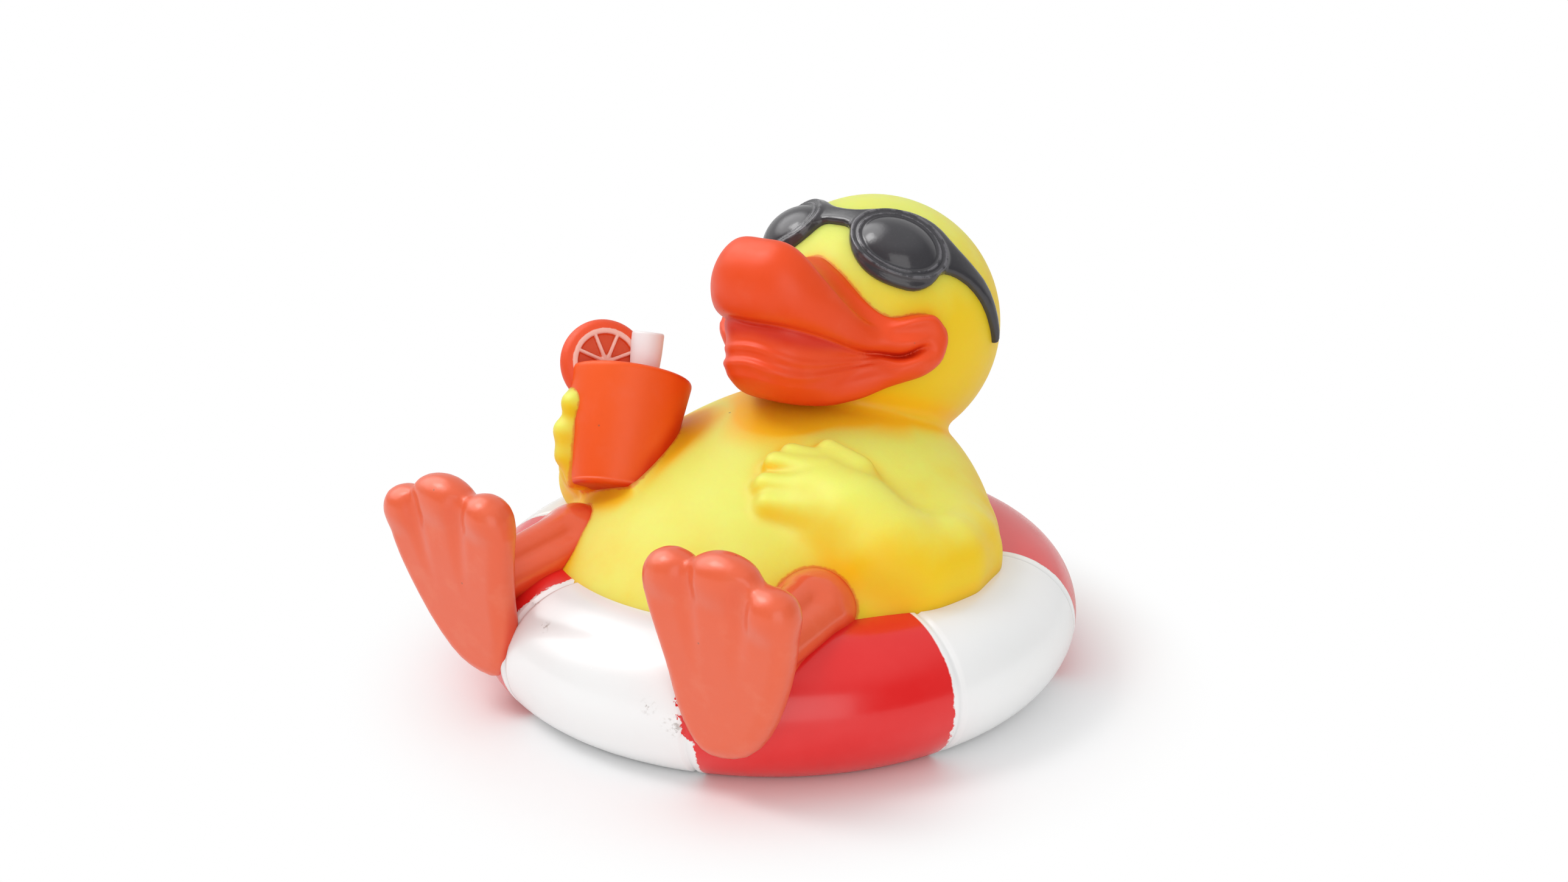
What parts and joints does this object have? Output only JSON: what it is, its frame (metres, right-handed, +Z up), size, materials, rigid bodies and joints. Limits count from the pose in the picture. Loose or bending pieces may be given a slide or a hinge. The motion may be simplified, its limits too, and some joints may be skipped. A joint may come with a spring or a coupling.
{
  "type": "rubber duck",
  "caption": "Hollow vinyl bath duck in sunglasses, lying back in a striped swim ring and holding a drink with a straw and a fruit slice.",
  "frame": {"origin": "centre of the bounding box at the bottom of the swim ring, where the duck stands", "axes": "+Z up from the surface it stands on, -Y towards the duck's feet, +Y towards its back, +X towards its own left hand"},
  "size_m": [0.1, 0.1022, 0.0735],
  "materials": {
    "yellow_vinyl": "soft rotocast vinyl, matte, with faint moulding marks",
    "orange_paint": "satin orange paint on the bill, feet and cup, thin at its edges",
    "red_paint": "satin red paint on the ring's stripes, sprayed to soft edges",
    "white_paint": "satin white paint on the ring's stripes",
    "black_paint": "gloss black paint on the sunglasses",
    "pink_paint": "thin pale pink paint on the straw and the slice's membranes",
    "squeaker_plastic": "plain natural polyethylene, satin"
  },
  "bodies": {
    "root": {"duck_body": "yellow_vinyl", "squeaker": "squeaker_plastic"}
  },
  "joints": []
}
